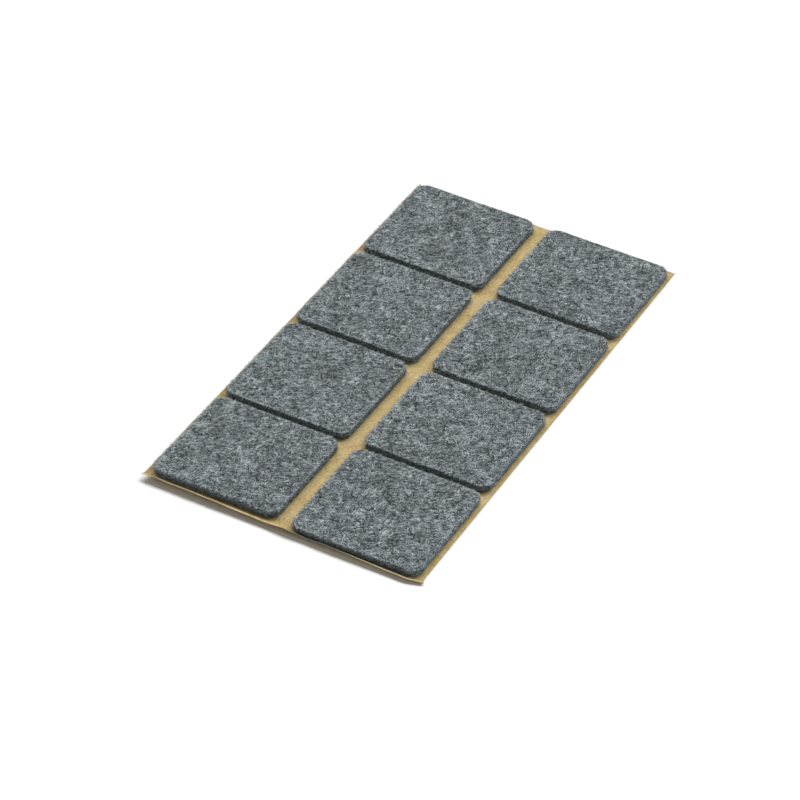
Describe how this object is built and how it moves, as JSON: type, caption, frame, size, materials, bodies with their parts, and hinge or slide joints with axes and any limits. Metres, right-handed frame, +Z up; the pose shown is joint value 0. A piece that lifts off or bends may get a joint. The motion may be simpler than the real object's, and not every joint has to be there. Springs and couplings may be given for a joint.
{
  "type": "furniture slider pad sheet",
  "caption": "Sheet of square self-adhesive felt pads on a kraft release liner; each pad peels off and sticks under a furniture leg to let it slide.",
  "frame": {"origin": "middle of the release liner's underside, where the sheet lies on a surface", "axes": "+Z up through the pads, +Y along the sheet from the front row to the back row, +X from the left column to the right"},
  "size_m": [0.1102, 0.2142, 0.0032],
  "materials": {
    "felt": "matte heathered needle felt",
    "adhesive": "tacky, clear yellowish adhesive film over grey felt",
    "kraft": "siliconised kraft paper with a dull sheen"
  },
  "bodies": {
    "liner": {"release_liner": "kraft"},
    "pad_left_1": {"adhesive_film_left_1": "adhesive", "felt_pad_left_1": "felt"},
    "pad_left_2": {"adhesive_film_left_2": "adhesive", "felt_pad_left_2": "felt"},
    "pad_left_3": {"adhesive_film_left_3": "adhesive", "felt_pad_left_3": "felt"},
    "pad_left_4": {"adhesive_film_left_4": "adhesive", "felt_pad_left_4": "felt"},
    "pad_right_1": {"adhesive_film_right_1": "adhesive", "felt_pad_right_1": "felt"},
    "pad_right_2": {"adhesive_film_right_2": "adhesive", "felt_pad_right_2": "felt"},
    "pad_right_3": {"adhesive_film_right_3": "adhesive", "felt_pad_right_3": "felt"},
    "pad_right_4": {"adhesive_film_right_4": "adhesive", "felt_pad_right_4": "felt"}
  },
  "joints": [
    {"name": "pad_left_1_lift", "type": "slide", "parent": "liner", "child": "pad_left_1", "axis": [0, 0, 1], "range_m": [0, 0.03]},
    {"name": "pad_left_2_lift", "type": "slide", "parent": "liner", "child": "pad_left_2", "axis": [0, 0, 1], "range_m": [0, 0.03]},
    {"name": "pad_left_3_lift", "type": "slide", "parent": "liner", "child": "pad_left_3", "axis": [0, 0, 1], "range_m": [0, 0.03]},
    {"name": "pad_left_4_lift", "type": "slide", "parent": "liner", "child": "pad_left_4", "axis": [0, 0, 1], "range_m": [0, 0.03]},
    {"name": "pad_right_1_lift", "type": "slide", "parent": "liner", "child": "pad_right_1", "axis": [0, 0, 1], "range_m": [0, 0.03]},
    {"name": "pad_right_2_lift", "type": "slide", "parent": "liner", "child": "pad_right_2", "axis": [0, 0, 1], "range_m": [0, 0.03]},
    {"name": "pad_right_3_lift", "type": "slide", "parent": "liner", "child": "pad_right_3", "axis": [0, 0, 1], "range_m": [0, 0.03]},
    {"name": "pad_right_4_lift", "type": "slide", "parent": "liner", "child": "pad_right_4", "axis": [0, 0, 1], "range_m": [0, 0.03]}
  ]
}
